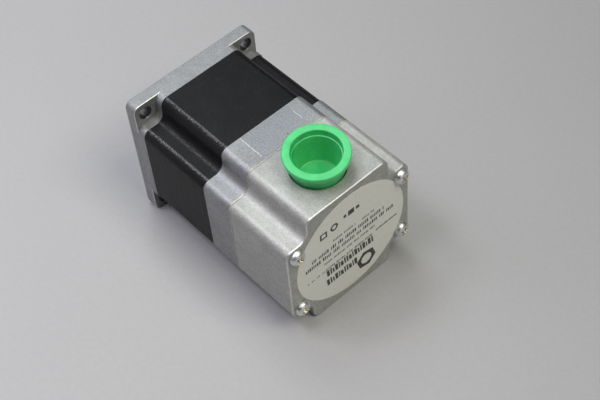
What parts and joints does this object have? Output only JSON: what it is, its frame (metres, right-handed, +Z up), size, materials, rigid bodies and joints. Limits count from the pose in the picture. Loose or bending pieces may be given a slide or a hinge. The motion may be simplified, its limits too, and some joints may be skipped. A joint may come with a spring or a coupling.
{
  "type": "stepper motor",
  "caption": "Square-flange two-phase stepping motor with laminated stator, plain output shaft and a cast rear conduit box closed by a pull-out plug.",
  "frame": {"origin": "centre of the bounding box in plan, on the plane the motor lies on", "axes": "+X along the motor axis towards the output shaft, +Z up through the conduit port"},
  "size_m": [0.1074, 0.0564, 0.0659],
  "materials": {
    "cast_aluminium": "satin die-cast, fine grain",
    "stator_black": "black coated laminations, satin",
    "zinc_steel": "bright zinc plate",
    "shaft_steel": "ground",
    "bearing_steel": "polished bearing steel",
    "rotor_iron": "bare iron laminations",
    "magnet_grey": "dull sintered",
    "copper_winding": "enamelled copper wire",
    "insulator_nylon": "moulded nylon",
    "plug_green": "soft moulded polyethylene",
    "label_stock": null,
    "gasket_paper": "gasket paper",
    "board_phenolic": "phenolic board",
    "terminal_brass": "bare brass",
    "earth_screw_green": "green dyed zinc",
    "lead_red": "wire insulation",
    "lead_yellow": "wire insulation",
    "lead_black": "wire insulation",
    "lead_orange": "wire insulation"
  },
  "bodies": {
    "housing": {"front_end_bell": "cast_aluminium", "stator_stack": "stator_black", "rear_end_bell": "cast_aluminium", "conduit_box": "cast_aluminium", "box_gasket": "gasket_paper", "rating_label": "label_stock", "cover_screw_1": "zinc_steel", "cover_screw_2": "zinc_steel", "cover_screw_3": "zinc_steel", "cover_screw_4": "zinc_steel", "tie_bolt_1": "zinc_steel", "tie_bolt_2": "zinc_steel", "tie_bolt_3": "zinc_steel", "tie_bolt_4": "zinc_steel", "insulator_rear": "insulator_nylon", "insulator_front": "insulator_nylon", "coil_1": "copper_winding", "coil_2": "copper_winding", "coil_3": "copper_winding", "coil_4": "copper_winding", "coil_5": "copper_winding", "coil_6": "copper_winding", "coil_7": "copper_winding", "coil_8": "copper_winding", "bearing_outer_ring_rear": "bearing_steel", "bearing_outer_ring_front": "bearing_steel", "wave_washer": "zinc_steel", "terminal_board": "board_phenolic", "terminal_screw_1": "terminal_brass", "terminal_screw_2": "terminal_brass", "terminal_screw_3": "terminal_brass", "terminal_screw_4": "terminal_brass", "board_screw_1": "zinc_steel", "board_screw_2": "zinc_steel", "ground_screw": "earth_screw_green", "lead_1": "lead_red", "lead_2": "lead_yellow", "lead_3": "lead_black", "lead_4": "lead_orange"},
    "rotor": {"rotor_shaft": "shaft_steel", "rotor_cup_rear": "rotor_iron", "rotor_cup_front": "rotor_iron", "rotor_magnet": "magnet_grey", "bearing_inner_ring_rear": "bearing_steel", "bearing_inner_ring_front": "bearing_steel"},
    "rear_ball_cage": {"ball_cage_rear": "bearing_steel"},
    "front_ball_cage": {"ball_cage_front": "bearing_steel"},
    "plug": {"port_plug": "plug_green"}
  },
  "joints": [
    {"name": "rotor_spin", "type": "hinge", "parent": "housing", "child": "rotor", "pos_m": [0, 0, 0.0282], "axis": [1, 0, 0], "continuous": true},
    {"name": "rear_cage_spin", "type": "hinge", "parent": "housing", "child": "rear_ball_cage", "pos_m": [-0.01581, 0, 0.0282], "axis": [1, 0, 0], "continuous": true},
    {"name": "front_cage_spin", "type": "hinge", "parent": "housing", "child": "front_ball_cage", "pos_m": [0.02964, 0, 0.0282], "axis": [1, 0, 0], "continuous": true},
    {"name": "plug_pull", "type": "slide", "parent": "housing", "child": "plug", "axis": [-0.0618, 0.0479, 0.9969], "range_m": [0, 0.025]}
  ],
  "couplings": [
    {"joint": "rear_cage_spin", "follows": "rotor_spin", "ratio": 0.372},
    {"joint": "front_cage_spin", "follows": "rotor_spin", "ratio": 0.372}
  ]
}
